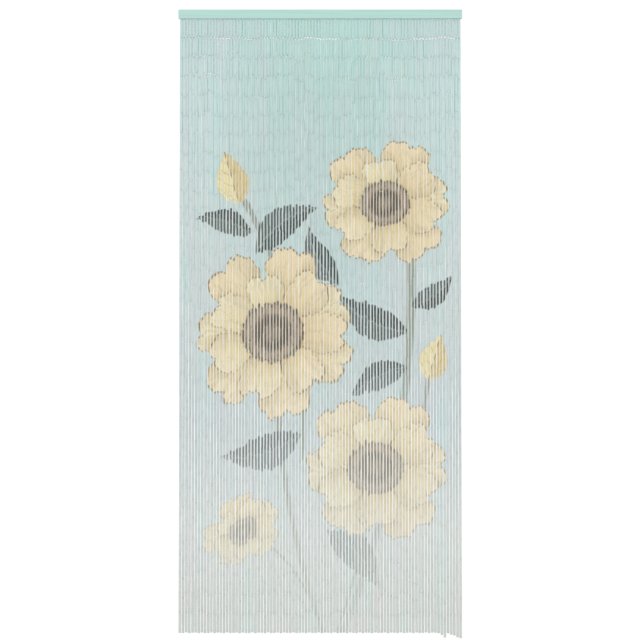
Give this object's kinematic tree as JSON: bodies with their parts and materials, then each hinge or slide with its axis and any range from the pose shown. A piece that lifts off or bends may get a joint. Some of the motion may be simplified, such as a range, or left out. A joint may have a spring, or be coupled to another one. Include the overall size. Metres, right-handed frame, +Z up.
{
  "type": "bamboo fly screen curtain with header batten",
  "caption": "Door curtain of painted bamboo tube strands that hang side by side under a flat wooden header batten and let people through but keep flies out.",
  "frame": {"origin": "centre of the header batten's back face, which goes against the door frame", "axes": "+X to the right seen from the room, +Y into the door frame, +Z up; the strands hang towards -Z"},
  "size_m": [0.9, 0.012, 1.9953],
  "materials": {
    "painted_batten": "matt paint",
    "painted_bamboo": "matt paint on bamboo",
    "link_wire": "galvanised wire"
  },
  "bodies": {
    "root": {"header_batten": "painted_batten", "bamboo_strands": "painted_bamboo"}
  },
  "joints": []
}
